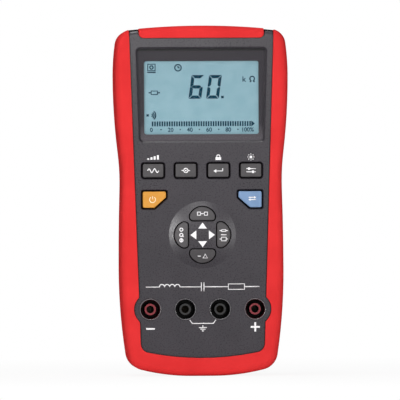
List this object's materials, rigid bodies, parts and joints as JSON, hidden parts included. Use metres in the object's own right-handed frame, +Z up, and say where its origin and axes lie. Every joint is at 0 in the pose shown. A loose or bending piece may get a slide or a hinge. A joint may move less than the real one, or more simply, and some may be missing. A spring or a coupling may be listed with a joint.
{
  "type": "handheld component tester",
  "caption": "Handheld component tester with a display window, a keypad with a round four-way pad, shrouded measuring sockets, rubber bumpers, a tilt stand and a battery door.",
  "frame": {"origin": "middle of the flat stretch of the lower end, on the plane where the case halves meet", "axes": "+Z up along the case, +X to the right seen from the front, +Y to the back, so the front faces -Y"},
  "size_m": [0.0944, 0.0456, 0.191],
  "materials": {
    "grey_abs": "fine matte grain",
    "red_tpe": "soft matte",
    "clear_acrylic": "polished clear",
    "display_glass": "pale blue-green",
    "black_abs": "satin",
    "milky_acrylic": "milky",
    "contact_rubber": "matte",
    "board_laminate": "satin solder mask",
    "zinc_steel": "zinc plated",
    "chip_epoxy": "matte",
    "grey_silicone": "soft matte",
    "orange_silicone": "soft matte",
    "blue_silicone": "soft matte",
    "spring_steel": "bright",
    "battery_can": "satin wrap",
    "black_pa": "satin",
    "red_pa": "satin",
    "nickel_brass": "nickel plated"
  },
  "bodies": {
    "case": {"backlight": "milky_acrylic", "battery": "battery_can", "battery_contacts": "spring_steel", "beeper": "black_abs", "board_header": "black_abs", "board_screws": "zinc_steel", "case_screws": "zinc_steel", "front_shell": "grey_abs", "jack_body_1": "black_pa", "jack_body_2": "black_pa", "jack_body_3": "black_pa", "jack_body_4": "black_pa", "jack_contact_1": "nickel_brass", "jack_contact_2": "nickel_brass", "jack_contact_3": "nickel_brass", "jack_contact_4": "nickel_brass", "jack_tube_1": "red_pa", "jack_tube_2": "black_pa", "jack_tube_3": "black_pa", "jack_tube_4": "red_pa", "keypad_mat": "grey_silicone", "lcd_glass": "display_glass", "lcd_holder": "black_abs", "main_board": "board_laminate", "meter_chip": "chip_epoxy", "processor_chip": "chip_epoxy", "rear_bumper": "red_tpe", "rear_shell": "grey_abs", "side_bumper": "red_tpe", "snap_domes": "spring_steel", "socket_board": "board_laminate", "top_bumper": "red_tpe", "window_lens": "clear_acrylic", "zebra_strips": "contact_rubber"},
    "key_1_body": {"key_1": "grey_silicone"},
    "key_2_body": {"key_2": "grey_silicone"},
    "key_3_body": {"key_3": "grey_silicone"},
    "key_4_body": {"key_4": "grey_silicone"},
    "power_key_body": {"power_key": "orange_silicone"},
    "mode_key_body": {"mode_key": "blue_silicone"},
    "up_key_body": {"up_key": "grey_silicone"},
    "right_key_body": {"right_key": "grey_silicone"},
    "down_key_body": {"down_key": "grey_silicone"},
    "left_key_body": {"left_key": "grey_silicone"},
    "stand_body": {"tilt_stand": "grey_abs"},
    "door_body": {"battery_door": "grey_abs", "door_screw": "zinc_steel"}
  },
  "joints": [
    {"name": "key_1_press", "type": "slide", "parent": "case", "child": "key_1_body", "axis": [0, 1, 0], "range_m": [0, 0.001], "stiffness_N_per_m": 600, "springref_m": -0.0008},
    {"name": "key_2_press", "type": "slide", "parent": "case", "child": "key_2_body", "axis": [0, 1, 0], "range_m": [0, 0.001], "stiffness_N_per_m": 600, "springref_m": -0.0008},
    {"name": "key_3_press", "type": "slide", "parent": "case", "child": "key_3_body", "axis": [0, 1, 0], "range_m": [0, 0.001], "stiffness_N_per_m": 600, "springref_m": -0.0008},
    {"name": "key_4_press", "type": "slide", "parent": "case", "child": "key_4_body", "axis": [0, 1, 0], "range_m": [0, 0.001], "stiffness_N_per_m": 600, "springref_m": -0.0008},
    {"name": "power_key_press", "type": "slide", "parent": "case", "child": "power_key_body", "axis": [0, 1, 0], "range_m": [0, 0.001], "stiffness_N_per_m": 600, "springref_m": -0.0008},
    {"name": "mode_key_press", "type": "slide", "parent": "case", "child": "mode_key_body", "axis": [0, 1, 0], "range_m": [0, 0.001], "stiffness_N_per_m": 600, "springref_m": -0.0008},
    {"name": "up_key_press", "type": "slide", "parent": "case", "child": "up_key_body", "axis": [0, 1, 0], "range_m": [0, 0.001], "stiffness_N_per_m": 600, "springref_m": -0.0008},
    {"name": "right_key_press", "type": "slide", "parent": "case", "child": "right_key_body", "axis": [0, 1, 0], "range_m": [0, 0.001], "stiffness_N_per_m": 600, "springref_m": -0.0008},
    {"name": "down_key_press", "type": "slide", "parent": "case", "child": "down_key_body", "axis": [0, 1, 0], "range_m": [0, 0.001], "stiffness_N_per_m": 600, "springref_m": -0.0008},
    {"name": "left_key_press", "type": "slide", "parent": "case", "child": "left_key_body", "axis": [0, 1, 0], "range_m": [0, 0.001], "stiffness_N_per_m": 600, "springref_m": -0.0008},
    {"name": "stand_hinge", "type": "hinge", "parent": "case", "child": "stand_body", "pos_m": [0, 0.0193, 0.095], "axis": [1, 0, 0], "range_deg": [0, 60]},
    {"name": "door_lift", "type": "slide", "parent": "case", "child": "door_body", "axis": [0, 1, 0], "range_m": [0, 0.03]}
  ]
}
